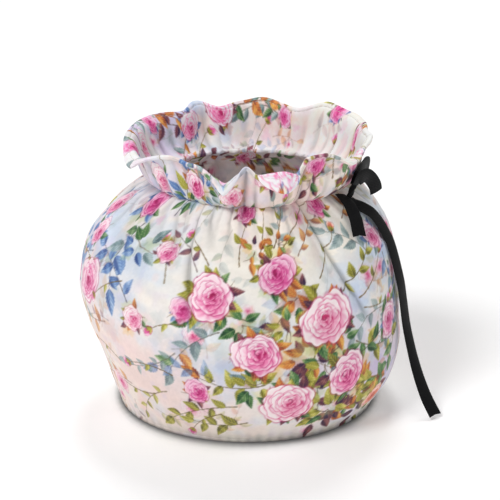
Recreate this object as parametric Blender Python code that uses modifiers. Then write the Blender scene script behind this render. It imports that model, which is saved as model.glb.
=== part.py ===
"""A drawstring tea cosy that stands on its hem. A front and a back panel of padded, printed cloth
are sewn together at the sides, with a slit for the spout on the left and one for the handle on the
right. A black ribbon gathers them at the neck, above which the cloth opens into a frill.

Metres, +Z up. The front faces -Y and the spout side is -X. Angles are in degrees about the
cosy's own axis, 0 at the front and 90 at the right."""

import math
from collections import namedtuple

import bmesh
import bpy
from mathutils import Vector

# The cloth is two layers with thin wadding between them.
CLOTH_THICKNESS = 0.0018
SEAM_GAP = 0.0004
# The hem's centre stands this far to +X of the origin, so that the origin is the middle of the
# whole cloth's footprint.
AXIS_X = 0.0014
AXIS_Y = 0.0001
# Where the two side seams run, and how finely each panel is divided.
LEFT_SEAM_ANGLE = -100.0
RIGHT_SEAM_ANGLE = 80.0
PANEL_COLUMNS = 48
BODY_ROWS = 18
FRILL_ROWS = 6
# The neck, where the drawstring gathers the cloth.
NECK_HEIGHT = 0.1265
NECK_RADIUS = 0.0505
NECK_LEAN = 0.004
# The ribbon is woven tape, drawn a little thicker than it is.
RIBBON_WIDTH = 0.0076
RIBBON_THICKNESS = 0.0010
RIBBON_STEP = 0.003
KNOT_SIZE = (0.0052, 0.0048, 0.0076)
KNOT_ANGLE = 65.0
KNOT_REACH = 0.0658
KNOT_HEIGHT = 0.1281

# The body's outline: at each height its radius on four sides, and how far its centre leans to +X.
Section = namedtuple("Section", "height left front right back lean")
BODY = (
    Section(0.0025, 0.0680, 0.0672, 0.0722, 0.0675, 0.0000),
    Section(0.0100, 0.0708, 0.0718, 0.0778, 0.0722, 0.0000),
    Section(0.0200, 0.0740, 0.0772, 0.0832, 0.0775, 0.0000),
    Section(0.0340, 0.0785, 0.0820, 0.0860, 0.0820, 0.0000),
    Section(0.0500, 0.0846, 0.0848, 0.0856, 0.0845, 0.0000),
    Section(0.0660, 0.0888, 0.0850, 0.0848, 0.0848, 0.0000),
    Section(0.0800, 0.0880, 0.0832, 0.0836, 0.0830, 0.0000),
    Section(0.0920, 0.0852, 0.0795, 0.0812, 0.0795, 0.0004),
    Section(0.1020, 0.0800, 0.0748, 0.0775, 0.0745, 0.0010),
    Section(0.1110, 0.0728, 0.0688, 0.0725, 0.0685, 0.0018),
    Section(0.1185, 0.0648, 0.0620, 0.0665, 0.0620, 0.0026),
    Section(0.1240, 0.0570, 0.0552, 0.0580, 0.0552, 0.0034),
    Section(NECK_HEIGHT, NECK_RADIUS, NECK_RADIUS, NECK_RADIUS, NECK_RADIUS, NECK_LEAN),
)

# Each gather is a trough that runs from the neck down to end_height, where it has faded out.
Gather = namedtuple("Gather", "neck_angle end_angle end_height depth width")
GATHERS = (
    Gather(-170, -172, 0.094, 0.0030, 5.5),
    Gather(-148, -144, 0.104, 0.0026, 5.0),
    Gather(-128, -130, 0.090, 0.0030, 5.5),
    Gather(-84, -80, 0.108, 0.0024, 5.0),
    Gather(-66, -57, 0.098, 0.0030, 5.0),
    Gather(-50, -38, 0.106, 0.0026, 4.5),
    Gather(-35, -21, 0.088, 0.0036, 5.0),
    Gather(-18, -13, 0.108, 0.0026, 4.5),
    Gather(-3, -1, 0.103, 0.0030, 5.0),
    Gather(12, 12, 0.108, 0.0026, 4.5),
    Gather(27, 44, 0.078, 0.0046, 5.5),
    Gather(43, 52, 0.104, 0.0026, 4.5),
    Gather(57, 66, 0.100, 0.0026, 5.0),
    Gather(98, 101, 0.100, 0.0028, 5.0),
    Gather(116, 113, 0.092, 0.0032, 5.5),
    Gather(135, 137, 0.104, 0.0026, 5.0),
    Gather(155, 152, 0.096, 0.0030, 5.5),
    Gather(174, 173, 0.106, 0.0024, 5.0),
)

# The frill's edge: how far it reaches from the axis and how high it stands, and the height that
# pulls the cloth up between neck and edge. A crown far above the edge is a lobe that rolls over.
RimPoint = namedtuple("RimPoint", "angle reach height crown")
RIM = (
    RimPoint(-90, 0.0680, 0.1496, 0.151),
    RimPoint(-66, 0.0700, 0.1407, 0.155),
    RimPoint(-60, 0.0685, 0.1450, 0.152),
    RimPoint(-52, 0.0660, 0.1500, 0.150),
    RimPoint(-44, 0.0635, 0.1525, 0.149),
    RimPoint(-36, 0.0610, 0.1512, 0.149),
    RimPoint(-24, 0.0635, 0.1490, 0.151),
    RimPoint(-16, 0.0685, 0.1450, 0.158),
    RimPoint(-11, 0.0710, 0.1392, 0.163),
    RimPoint(-7, 0.0640, 0.1430, 0.154),
    RimPoint(-2, 0.0560, 0.1492, 0.146),
    RimPoint(3, 0.0610, 0.1452, 0.151),
    RimPoint(9, 0.0690, 0.1420, 0.161),
    RimPoint(15, 0.0712, 0.1398, 0.165),
    RimPoint(21, 0.0675, 0.1425, 0.156),
    RimPoint(27, 0.0600, 0.1490, 0.147),
    RimPoint(31, 0.0585, 0.1530, 0.149),
    RimPoint(39, 0.0620, 0.1540, 0.151),
    RimPoint(45, 0.0660, 0.1512, 0.152),
    RimPoint(51, 0.0690, 0.1472, 0.154),
    RimPoint(58, 0.0682, 0.1490, 0.152),
    RimPoint(66, 0.0670, 0.1517, 0.150),
    RimPoint(79, 0.0665, 0.1535, 0.151),
    RimPoint(88, 0.0630, 0.1545, 0.151),
    RimPoint(98, 0.0644, 0.1514, 0.149),
    RimPoint(120, 0.0700, 0.1505, 0.150),
    RimPoint(140, 0.0705, 0.1530, 0.150),
    RimPoint(153, 0.0610, 0.1495, 0.147),
    RimPoint(175, 0.0695, 0.1515, 0.150),
    RimPoint(196, 0.0610, 0.1495, 0.147),
    RimPoint(206, 0.0700, 0.1515, 0.150),
    RimPoint(218, 0.0620, 0.1500, 0.147),
    RimPoint(236, 0.0710, 0.1485, 0.150),
    RimPoint(255, 0.0690, 0.1475, 0.150),
)
# The frill swells out above the neck, as a pouch, and then goes up to its crown. How far out each
# of the two is between neck and edge, as a share, and how far the pouch rises.
POUCH_REACH = 0.80
POUCH_RISE = 0.0045
CROWN_REACH = 0.45

# A slit is left open in each side seam, widest at its middle.
Slit = namedtuple("Slit", "bottom top half_width")
SPOUT_SLIT = Slit(0.086, 0.1195, 0.0105)
HANDLE_SLIT = Slit(0.046, 0.1130, 0.0050)

# The ribbon's route about the hem's centre. Turn is how far its face looks round from straight
# outwards, and tilt is how far it looks up.
RibbonPoint = namedtuple("RibbonPoint", "angle reach height turn tilt")
TAIL_LONG = (
    RibbonPoint(63.4, 0.0636, 0.1240, 0, 45),
    RibbonPoint(63.4, 0.0656, 0.1223, 0, 45),
    RibbonPoint(64.4, 0.0686, 0.1202, 0, 42),
    RibbonPoint(66.5, 0.0711, 0.1178, 0, 40),
    RibbonPoint(68.4, 0.0738, 0.1148, 0, 36),
    RibbonPoint(70.3, 0.0769, 0.1094, 0, 30),
    RibbonPoint(71.6, 0.0797, 0.1036, 0, 24),
    RibbonPoint(72.7, 0.0822, 0.0975, 0, 18),
    RibbonPoint(73.1, 0.0851, 0.0880, 0, 10),
    RibbonPoint(73.8, 0.0882, 0.0748, 0, 4),
    RibbonPoint(75.4, 0.0896, 0.0633, -4, 0),
    RibbonPoint(76.4, 0.0924, 0.0460, -12, 0),
    RibbonPoint(74.5, 0.0985, 0.0265, -24, 0),
    RibbonPoint(72.2, 0.1052, 0.0118, -32, 0),
    RibbonPoint(70.2, 0.1122, 0.0022, -36, 0),
)
TAIL_SHORT = (
    RibbonPoint(58.9, 0.0604, 0.1274, 0, 50),
    RibbonPoint(57.5, 0.0637, 0.1259, 0, 48),
    RibbonPoint(56.3, 0.0672, 0.1236, 0, 45),
    RibbonPoint(54.8, 0.0703, 0.1203, 0, 42),
    RibbonPoint(54.7, 0.0720, 0.1165, 0, 40),
    RibbonPoint(53.5, 0.0740, 0.1128, 0, 38),
    RibbonPoint(52.2, 0.0762, 0.1091, 0, 36),
)
LOOP_HIGH = (
    RibbonPoint(65.0, 0.0655, 0.1328, 0, 0),
    RibbonPoint(65.0, 0.0658, 0.1345, 0, 0),
    RibbonPoint(67.0, 0.0663, 0.1362, -10, 0),
    RibbonPoint(71.0, 0.0668, 0.1378, -20, 0),
    RibbonPoint(76.0, 0.0672, 0.1388, -30, 0),
    RibbonPoint(80.4, 0.0677, 0.1392, -35, 0),
    RibbonPoint(84.5, 0.0686, 0.1376, -30, 0),
    RibbonPoint(87.4, 0.0689, 0.1343, -15, 0),
    RibbonPoint(89.0, 0.0678, 0.1308, 0, 0),
)
LOOP_LOW = (
    RibbonPoint(64.5, 0.0673, 0.1328, 0, 0),
    RibbonPoint(64.5, 0.0678, 0.1345, 0, 0),
    RibbonPoint(66.5, 0.0690, 0.1356, -15, 0),
    RibbonPoint(69.5, 0.0702, 0.1362, -30, 0),
    RibbonPoint(72.5, 0.0716, 0.1352, -40, 0),
    RibbonPoint(75.5, 0.0732, 0.1318, -50, 0),
    RibbonPoint(77.8, 0.0748, 0.1270, -50, 0),
    RibbonPoint(79.2, 0.0752, 0.1225, -50, 0),
    RibbonPoint(79.6, 0.0750, 0.1190, -45, 0),
)


def clear_scene():
    for obj in list(bpy.data.objects):
        bpy.data.objects.remove(obj)


def cloth_material(name, colour, roughness):
    material = bpy.data.materials.new(name)
    material.use_nodes = True
    shader = material.node_tree.nodes["Principled BSDF"]
    shader.inputs["Base Color"].default_value = (*colour, 1.0)
    shader.inputs["Roughness"].default_value = roughness
    shader.inputs["Metallic"].default_value = 0.0
    return material


def slopes(places, values, closed):
    """The slope at each place of a curve through the values that never overshoots them."""
    count = len(values)
    found = []
    for i in range(count):
        if not closed and i in (0, count - 1):
            j = min(i, count - 2)
            found.append((values[j + 1] - values[j]) / (places[j + 1] - places[j]))
            continue
        before = (values[i] - values[i - 1]) / ((places[i] - places[i - 1]) % 360 or 360)
        after_gap = (places[(i + 1) % count] - places[i]) % 360 or 360
        after = (values[(i + 1) % count] - values[i]) / after_gap
        found.append(0.0 if before * after <= 0 else 2 * before * after / (before + after))
    return found


def hermite(a, b, slope_a, slope_b, gap, t):
    return (
        a * (1 + 2 * t) * (1 - t) ** 2
        + b * t * t * (3 - 2 * t)
        + gap * slope_a * t * (1 - t) ** 2
        - gap * slope_b * t * t * (1 - t)
    )


def round_the_rim(column):
    """A function of the angle that runs smoothly through one column of RIM."""
    angles = [point.angle for point in RIM]
    values = [getattr(point, column) for point in RIM]
    steep = slopes(angles, values, closed=True)

    def value(angle):
        turn = (angle - angles[0]) % 360 + angles[0]
        i = max(k for k in range(len(angles)) if angles[k] <= turn)
        j = (i + 1) % len(angles)
        gap = (angles[j] - angles[i]) % 360
        return hermite(values[i], values[j], steep[i], steep[j], gap, (turn - angles[i]) / gap)

    return value


RIM_REACH = round_the_rim("reach")
RIM_HEIGHT = round_the_rim("height")
RIM_CROWN = round_the_rim("crown")


def through_sections(column, level):
    """One column of BODY at a level from 0 to 1, on a smooth curve through its values."""
    values = [getattr(section, column) for section in BODY]
    place = level * (len(values) - 1)
    i = min(int(place), len(values) - 2)
    t = place - i
    before = values[max(i - 1, 0)]
    after = values[min(i + 2, len(values) - 1)]
    slope_a = (values[i + 1] - before) / 2
    slope_b = (after - values[i]) / 2
    return hermite(values[i], values[i + 1], slope_a, slope_b, 1.0, t)


def round_four(left, front, right, back, angle):
    """The radius at an angle, from the radii on the four sides."""
    turn = math.radians(angle)
    mean = (left + front + right + back) / 4
    oval = (front + back - left - right) / 4
    to_front = (front - back) / 2
    to_right = (right - left) / 2
    return mean + to_front * math.cos(turn) + to_right * math.sin(turn) + oval * math.cos(2 * turn)


def gathered(angle, height):
    """How far the gathers draw the cloth in at this place."""
    drawn = 0.0
    for gather in GATHERS:
        along = (NECK_HEIGHT - height) / (NECK_HEIGHT - gather.end_height)
        if not 0 <= along < 1:
            continue
        middle = gather.neck_angle + (gather.end_angle - gather.neck_angle) * along
        off = ((angle - middle + 180) % 360 - 180) / (gather.width * (1 + 0.5 * along))
        fade = math.sin(math.pi * min(1.0, 0.25 + 0.75 * along)) ** 0.8
        drawn += gather.depth * fade * math.exp(-off * off)
    return drawn


def on_axis(radius, angle, height, lean):
    turn = math.radians(angle)
    return Vector(
        (AXIS_X + lean + radius * math.sin(turn), AXIS_Y - radius * math.cos(turn), height)
    )


def body_point(angle, level):
    left, front, right, back, height, lean = (
        through_sections(column, level)
        for column in ("left", "front", "right", "back", "height", "lean")
    )
    radius = round_four(left, front, right, back, angle) - gathered(angle, height)
    return on_axis(radius, angle, height, lean)


def frill_point(angle, level):
    """A place on the frill, from the neck at level 0 to its edge at level 1."""
    neck = NECK_RADIUS - gathered(angle, NECK_HEIGHT)
    reach = RIM_REACH(angle)
    out = reach - neck
    low, high = neck + POUCH_REACH * out, neck + CROWN_REACH * out
    a, b, c, d = (1 - level) ** 3, 3 * level * (1 - level) ** 2, 3 * level**2 * (1 - level), level**3
    radius = a * neck + b * low + c * high + d * reach
    height = (a + b) * NECK_HEIGHT + b * POUCH_RISE + c * RIM_CROWN(angle) + d * RIM_HEIGHT(angle)
    return on_axis(radius, angle, height, NECK_LEAN)


def half_gap(slit, height):
    """Half the distance between the two panels at a side seam."""
    share = (height - slit.bottom) / (slit.top - slit.bottom)
    open_by = slit.half_width * math.sin(math.pi * share) ** 0.7 if 0 < share < 1 else 0.0
    return SEAM_GAP / 2 + open_by


def rows_of_cloth():
    """(maker of a point from an angle, height, usual radius) for each row, from hem to edge."""
    rows = []
    for i in range(BODY_ROWS + 1):
        level = i / BODY_ROWS
        height, radius = through_sections("height", level), through_sections("front", level)
        rows.append((lambda angle, at=level: body_point(angle, at), height, radius))
    for i in range(1, FRILL_ROWS + 1):
        level = i / FRILL_ROWS
        rows.append((lambda angle, at=level: frill_point(angle, at), NECK_HEIGHT, 0.060))
    return rows


def open_grid(name, rows_of_points):
    """An open surface through rows of points, wound so that it faces away from the axis."""
    mesh = bpy.data.meshes.new(name)
    shape = bmesh.new()
    grid = [[shape.verts.new(point) for point in row] for row in rows_of_points]
    for lower, upper in zip(grid, grid[1:]):
        for i in range(len(lower) - 1):
            shape.faces.new((lower[i], lower[i + 1], upper[i + 1], upper[i]))
    shape.to_mesh(mesh)
    shape.free()
    mesh.shade_smooth()
    return mesh


def make_panel(name, collection, material, start, start_slit, end, end_slit):
    """One panel of the cosy, from one side seam round to the other."""
    points = []
    for place, height, radius in rows_of_cloth():
        first = start + math.degrees(half_gap(start_slit, height) / radius)
        last = end - math.degrees(half_gap(end_slit, height) / radius)
        angles = [first + (last - first) * i / PANEL_COLUMNS for i in range(PANEL_COLUMNS + 1)]
        points.append([place(angle) for angle in angles])
    hem = [Vector((point.x, point.y, 0.0)) for point in points[0]]
    panel = bpy.data.objects.new(name, open_grid(name, [hem, *points]))
    collection.objects.link(panel)
    panel.data.materials.append(material)
    cloth = panel.modifiers.new("Cloth", "SOLIDIFY")
    cloth.thickness = CLOTH_THICKNESS
    cloth.offset = 0.0
    return panel


def route_through(points):
    """Places about RIBBON_STEP apart on a smooth curve through the points, each with a facing."""
    places = []
    for i in range(len(points) - 1):
        around = [points[max(i - 1, 0)], points[i], points[i + 1], points[min(i + 2, len(points) - 1)]]
        ends = [on_axis(p.reach, p.angle, p.height, 0.0) for p in points[i : i + 2]]
        gap = math.dist(*ends)
        steps = max(1, round(gap / RIBBON_STEP))
        for k in range(steps + (i == len(points) - 2)):
            t = k / steps
            places.append(
                [
                    hermite(b, c, (c - a) / 2, (d - b) / 2, 1.0, t)
                    for a, b, c, d in zip(*around)
                ]
            )
    return places


def make_ribbon(name, collection, material, points):
    """A flat strip along a route. Its width lies across the route and across its facing."""
    route = route_through(points)
    centres = [on_axis(reach, angle, height, 0.0) for angle, reach, height, _, _ in route]
    edges = []
    for i, place in enumerate(route):
        along = (centres[min(i + 1, len(centres) - 1)] - centres[max(i - 1, 0)]).normalized()
        turn, tilt = math.radians(place[0] + place[3]), math.radians(place[4])
        level = math.cos(tilt)
        facing = Vector((math.sin(turn) * level, -math.cos(turn) * level, math.sin(tilt)))
        across = along.cross(facing).normalized() * RIBBON_WIDTH / 2
        edges.append([centres[i] - across, centres[i], centres[i] + across])
    ribbon = bpy.data.objects.new(name, open_grid(name, edges))
    collection.objects.link(ribbon)
    ribbon.data.materials.append(material)
    tape = ribbon.modifiers.new("Tape", "SOLIDIFY")
    tape.thickness = RIBBON_THICKNESS
    tape.offset = 0.0
    return ribbon


def make_knot(name, collection, material):
    """The bow's knot: a rounded lump that lies on the gathered cloth."""
    mesh = bpy.data.meshes.new(name)
    shape = bmesh.new()
    bmesh.ops.create_cube(shape, size=1.0)
    bmesh.ops.scale(shape, vec=KNOT_SIZE, verts=shape.verts)
    shape.to_mesh(mesh)
    shape.free()
    knot = bpy.data.objects.new(name, mesh)
    collection.objects.link(knot)
    knot.location = on_axis(KNOT_REACH, KNOT_ANGLE, KNOT_HEIGHT, 0.0)
    knot.rotation_euler = (0.0, 0.0, math.radians(KNOT_ANGLE))
    knot.data.materials.append(material)
    soft = knot.modifiers.new("Soft", "BEVEL")
    soft.width = 0.0018
    soft.segments = 3
    return knot


def main():
    clear_scene()
    cosy = bpy.data.collections.new("tea_cosy")
    bpy.context.scene.collection.children.link(cosy)
    printed = cloth_material("printed_cloth", (0.86, 0.76, 0.76), 0.85)
    black = cloth_material("black_ribbon", (0.012, 0.012, 0.014), 0.6)
    right_again = LEFT_SEAM_ANGLE + 360
    make_panel(
        "front_panel", cosy, printed, LEFT_SEAM_ANGLE, SPOUT_SLIT, RIGHT_SEAM_ANGLE, HANDLE_SLIT
    )
    make_panel("back_panel", cosy, printed, RIGHT_SEAM_ANGLE, HANDLE_SLIT, right_again, SPOUT_SLIT)
    make_knot("ribbon_knot", cosy, black)
    make_ribbon("ribbon_tail_long", cosy, black, TAIL_LONG)
    make_ribbon("ribbon_tail_short", cosy, black, TAIL_SHORT)
    make_ribbon("ribbon_loop_high", cosy, black, LOOP_HIGH)
    make_ribbon("ribbon_loop_low", cosy, black, LOOP_LOW)


main()
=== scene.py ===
"""Dresses the tea cosy: padded cloth with a painted rose print, and a black ribbon.

The cloth is rebuilt much finer on the same tables as its solids, with its small gathers, creases
and puckers. The print is painted by functions onto a flat map of the cloth, in millimetres, and
each point of the cloth then takes the colour of its place on the map."""

from collections import namedtuple
from math import atan2, cos, degrees, exp, pi, radians, sin

import bmesh
import bpy
import numpy as np
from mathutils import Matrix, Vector

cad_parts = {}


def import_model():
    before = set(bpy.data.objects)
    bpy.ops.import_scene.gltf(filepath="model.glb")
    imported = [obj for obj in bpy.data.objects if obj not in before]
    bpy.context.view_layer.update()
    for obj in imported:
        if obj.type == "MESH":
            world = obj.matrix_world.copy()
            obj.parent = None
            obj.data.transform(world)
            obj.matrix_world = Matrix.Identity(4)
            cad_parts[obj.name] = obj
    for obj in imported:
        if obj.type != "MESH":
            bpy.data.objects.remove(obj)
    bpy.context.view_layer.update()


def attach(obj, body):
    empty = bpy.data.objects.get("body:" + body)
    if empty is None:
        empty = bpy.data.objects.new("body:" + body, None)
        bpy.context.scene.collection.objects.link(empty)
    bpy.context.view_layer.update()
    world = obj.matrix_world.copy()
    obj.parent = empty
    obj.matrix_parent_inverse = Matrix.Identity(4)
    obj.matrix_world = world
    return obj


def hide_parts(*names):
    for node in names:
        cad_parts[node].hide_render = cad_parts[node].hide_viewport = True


# The camera, as in the photo.
CAMERA_ELEVATION = 20.0
CAMERA_DISTANCE = 1.1
CAMERA_AIM = (0.0053, 0.0, 0.0846)
CAMERA_LENS = 144.0

# The lamps: where each stands, how wide it looks in degrees, and how strong it is.
LAMPS = (
    ("key", (-0.62, -0.62, 1.10), 20, 1.52),
    ("fill", (0.95, -0.60, 0.55), 40, 0.22),
    ("back", (0.05, 0.62, 1.0), 14, 0.85),
)
SKY_STRENGTH = 0.34

# The floor: rings this far out from the hem, with their brightness, wider in front than at the sides. The
# dark rings close to the hem are a painted contact shadow.
FLOOR_COLUMNS = 180
FLOOR_STRETCH = 2.2
FLOOR_TONE = 0.945
FLOOR_SHADOW_RINGS = (
    (-0.0040, FLOOR_TONE), (-0.0010, 0.20), (0.0000, 0.20), (0.0012, 0.42), (0.0024, 0.66),
    (0.0036, 0.82), (0.0048, 0.90), (0.0065, FLOOR_TONE), (0.10, FLOOR_TONE), (12.0, FLOOR_TONE),
)

# The cloth.
CLOTH_THICKNESS = 0.0017
HEM_HEIGHT = 0.0025
AXIS_X = 0.0014
AXIS_Y = 0.0001
SEAM_GAP = 0.00012
LEFT_SEAM_ANGLE = -100.0
RIGHT_SEAM_ANGLE = 80.0
NECK_HEIGHT = 0.1265
NECK_RADIUS = 0.0505
NECK_LEAN = 0.004
POUCH_REACH = 0.80
POUCH_RISE = 0.0045
CROWN_REACH = 0.45
FRILL_HEIGHT = 0.1365  # about the frill's middle, for its slits and its spacing
FRILL_RADIUS = 0.060
OUTER_COLUMNS = 470
OUTER_ROWS = 350
INNER_COLUMNS = 390
INNER_ROWS_LOW = 40
INNER_ROWS_FRILL = 90
FINE_INSIDE = 0.046  # how far down from the rim the inner face is fine
ROLL_PLACES = (0.0, 0.06, 0.22, 0.5)  # extra lines of points on a rolled edge
CREASE_DEPTH = 1.5  # times the depth in the table
NECK_RIPPLE = 0.00032
HEM_RIPPLE = 0.00016
BELLY_RIPPLE = 0.00055
FRILL_RIPPLE = 0.00090
RIM_RIPPLE = 0.00018
RIM_WAVE = 0.0005
# Painted shade in the cloth's folds and painted light on their ridges, from how far each point stands out
# from its neighbours.
SHADE_REACH = 6
SHADE_STRENGTH = 570.0
SHADE_DARKEST = 0.60
SHADE_LIGHTEST = 1.06
INSIDE_SHADE = 0.6  # power of the same painted shade and light on the inner face
# Painted light on the inner face: its colours are made lighter by this factor, and no brighter than the
# next.
INSIDE_PAINTED_LIGHT = 1.18
INSIDE_PAINTED_LIGHT_CAP = 0.96
HEM_SHADE = 0.55  # painted shade on the hem's rolled edge, which turns away from the light
HEM_SHADE_HEIGHT = 0.0030

# The rim is turned in by RIM_BAND and sewn down, which leaves a groove and a row of stitches.
RIM_BAND = 0.0033
BAND_THICKER = 0.30
GROOVE_WIDTH = 0.0004
STITCH_LENGTH = 0.0021
STITCH_SPACING = 0.0026
STITCH_RADII = (0.00006, 0.00013, 0.00006)
STITCH_ARCH = 0.00009
STITCH_SUNK = 0.78  # share of the cloth's half thickness that a stitch lies out from its middle
SEAM_CLEAR = 0.6  # degrees on each side of a seam with no stitches

# The ribbon.
RIBBON_WIDTH = 0.0078
RIBBON_THICKNESS = 0.0005
RIBBON_STEP = 0.0012
RIBBON_ACROSS = 8
RIBBON_CUP = 0.0004
RIBBON_NOTCH = 0.0006
KNOT_TOP = (64.0, 0.0662, 0.1330)
KNOT_FOOT = (61.6, 0.0634, 0.1244)
KNOT_WIDTH = 0.0015
KNOT_PAST = 0.0006  # how far the knot goes past each of these places
KNOT_TWIST = 1.8


def table(kind, rows, lengths=()):
    """Rows of a kind. The columns named in lengths are written in millimetres and kept in metres."""
    return [
        kind(*(v / 1000 if column in lengths else v for column, v in zip(kind._fields, row)))
        for row in rows
    ]


# Level sections of the body: how high each is, how far it reaches to four sides, and its lean.
Section = namedtuple("Section", "height left front right back lean")
BODY = table(Section, (
    (2.5, 68, 67.2, 72.2, 67.5, 0), (10, 70.8, 71.8, 77.8, 72.2, 0), (20, 74, 77.2, 83.2, 77.5, 0),
    (34, 78.5, 82, 86, 82, 0), (50, 84.6, 84.8, 85.6, 84.5, 0), (66, 88.8, 85, 84.8, 84.8, 0),
    (80, 88, 83.2, 83.6, 83, 0), (92, 85.2, 79.5, 81.2, 79.5, 0.4), (102, 80, 74.8, 77.5, 74.5, 1),
    (111, 72.8, 68.8, 72.5, 68.5, 1.8), (118.5, 64.8, 62, 66.5, 62, 2.6), (124, 57, 55.2, 58, 55.2, 3.4),
    (126.5, 50.5, 50.5, 50.5, 50.5, 4),
), Section._fields)

# Gathers: the angle at the neck, the angle and height where they end, the depth, and the width in
# degrees.
Gather = namedtuple("Gather", "neck_angle end_angle end_height depth width")
GATHERS = table(Gather, (
    (-170, -172, 94, 3, 5.5), (-148, -144, 104, 2.6, 5), (-128, -130, 90, 3, 5.5),
    (-84, -80, 108, 2.4, 5), (-66, -57, 98, 3, 5), (-50, -38, 106, 2.6, 4.5), (-35, -21, 88, 3.6, 5),
    (-18, -13, 108, 2.6, 4.5), (-3, -1, 103, 3, 5), (12, 12, 108, 2.6, 4.5), (27, 44, 78, 4.6, 5.5),
    (43, 52, 104, 2.6, 4.5), (57, 66, 100, 2.6, 5), (98, 101, 100, 2.8, 5), (116, 113, 92, 3.2, 5.5),
    (135, 137, 104, 2.6, 5), (155, 152, 96, 3, 5.5), (174, 173, 106, 2.4, 5),
), ("end_height", "depth"))

# Small gathers and creases that the solids leave out, in the same terms. These are sharper.
CREASES = table(Gather, (
    (-92, -90, 112, 1, 2), (-75, -69, 106, 1.2, 2.2), (-58, -47, 110, 1.1, 2), (-42, -30, 103, 1.2, 2),
    (-27, -17.5, 70, 1.8, 1.7), (-22, -15, 108, 1, 2), (-10, -7, 106, 1.2, 2), (4, 5, 110, 1.1, 2),
    (19, 22, 104, 1.2, 2), (30, 52, 62, 2.1, 1.6), (35, 44, 108, 1.1, 2), (50, 59, 104, 1.2, 2.2),
    (64, 74, 98, 1, 2), (74, 77, 114, 1, 2), (90, 92, 106, 1.2, 2.2), (107, 106, 110, 1, 2),
    (125, 126, 100, 1.3, 2.2), (145, 143, 108, 1.1, 2), (165, 166, 104, 1.2, 2.2),
    (-160, -158, 106, 1.1, 2), (-138, -139, 102, 1.2, 2), (-118, -121, 106, 1.1, 2.2),
    (-107, -109, 112, 1, 2),
), ("end_height", "depth"))

# The frill's rim: how far out and how high it is, and how high the cloth's curve pulls it.
RimPoint = namedtuple("RimPoint", "angle reach height crown")
RIM = table(RimPoint, (
    (-90, 68, 149.6, 151), (-66, 70, 140.7, 155), (-60, 68.5, 145, 152), (-52, 66, 150, 150),
    (-44, 63.5, 152.5, 149), (-36, 61, 151.2, 149), (-24, 63.5, 149, 150), (-16, 68.5, 145, 150),
    (-11, 71, 139.2, 152), (-7, 64, 143, 153), (-2, 56, 149.2, 146), (3, 61, 145.2, 151),
    (9, 69, 142, 161), (15, 71.2, 139.8, 165), (21, 67.5, 142.5, 156), (27, 60, 149, 147),
    (31, 58.5, 153, 149), (39, 62, 154, 151), (45, 66, 151.2, 152), (51, 69, 147.2, 154),
    (58, 68.2, 149, 152), (66, 67, 151.7, 150), (79, 66.5, 153.5, 151), (88, 63, 154.5, 151),
    (98, 64.4, 151.4, 149), (120, 70, 150.5, 150), (140, 70.5, 153, 150), (153, 61, 149.5, 147),
    (175, 69.5, 151.5, 150), (196, 61, 149.5, 147), (206, 70, 151.5, 150), (218, 62, 150, 147),
    (236, 71, 148.5, 150), (255, 69, 147.5, 150),
), ("reach", "height", "crown"))

# The slits at the side seams, in metres.
Slit = namedtuple("Slit", "bottom top half_width")
SPOUT_SLIT = Slit(0.086, 0.1195, 0.0105)
HANDLE_SLIT = Slit(0.046, 0.1130, 0.0050)

# Points along each ribbon. Turn and tilt are where its flat side looks, in degrees.
RibbonPoint = namedtuple("RibbonPoint", "angle reach height turn tilt")
RIBBON_LENGTHS = ("reach", "height")
TAIL_LONG = table(RibbonPoint, (
    (63.4, 63.6, 124, 0, 45), (63.4, 65.8, 122.5, -4, 45), (64.4, 69, 120.6, -8, 42),
    (66.5, 71.9, 118.3, -12, 40), (68.4, 74.9, 115.2, -16, 36), (70.3, 78.1, 109.7, -18, 30),
    (71.6, 80.9, 103.8, -18, 24), (72.7, 83.4, 97.6, -18, 18), (73.1, 86.2, 88, -18, 10),
    (73.8, 89.2, 74.8, -18, 4), (75.4, 90.4, 63.3, -19, 0), (76.4, 92.8, 46, -22, 0),
    (74.5, 98.5, 26.5, -28, 0), (72.2, 105.2, 11.8, -34, 0), (70.2, 112, 2.2, -36, 0),
), RIBBON_LENGTHS)
TAIL_SHORT = table(RibbonPoint, (
    (58.9, 60.4, 127.4, 0, 50), (57.5, 64, 126, -8, 48), (56.3, 67.8, 123.9, -16, 45),
    (54.8, 71.2, 120.7, -22, 42), (54.7, 73.2, 116.8, -24, 38), (53.7, 75.2, 113, -24, 34),
    (52.6, 77.4, 109.2, -24, 30),
), RIBBON_LENGTHS)
LOOP_HIGH = table(RibbonPoint, (
    (64, 65.2, 131.8, 0, 0), (65, 65.8, 134.1, 0, 0), (67, 66.3, 135.8, -10, 0),
    (71, 66.6, 137.2, -20, 0), (76, 66.8, 137.9, -30, 0), (80.4, 67.1, 137.9, -35, 0),
    (84.5, 67.8, 136.2, -30, 0), (87.4, 68.1, 133.2, -15, 0), (89, 67.2, 130.2, 0, 0),
), RIBBON_LENGTHS)
LOOP_LOW = table(RibbonPoint, (
    (63.6, 66.8, 131.8, 0, 0), (64.5, 67.6, 134.1, 0, 0), (66.5, 68.4, 135, -15, 0),
    (69.5, 69.2, 135.2, -30, 0), (72.5, 70.1, 134, -40, 0), (75.5, 71.4, 130.8, -50, 0),
    (77.8, 72.8, 126.6, -50, 0), (79.2, 73.2, 122.8, -48, 0),
), RIBBON_LENGTHS)

# The print's flat map. Across it is the angle round the cosy, and up it is the way from the hem.
MAP_DOTS = 4.0  # dots a millimetre
MAP_LEFT = -104.0
MAP_RIGHT = 264.0
MAP_TOP = 182.0
MM_A_DEGREE = 1.5
LUMPS_MORE = 640  # dots of cloud beyond the map
LUMPS_STEP = (19, 37)  # each wash looks this many dots further up and across the same cloud
ROUND = 6.28
NEXT_TURN = 2.4  # radians from one petal or leaf to the next, so that none hides the last
LIGHT_FROM = radians(125)

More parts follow.
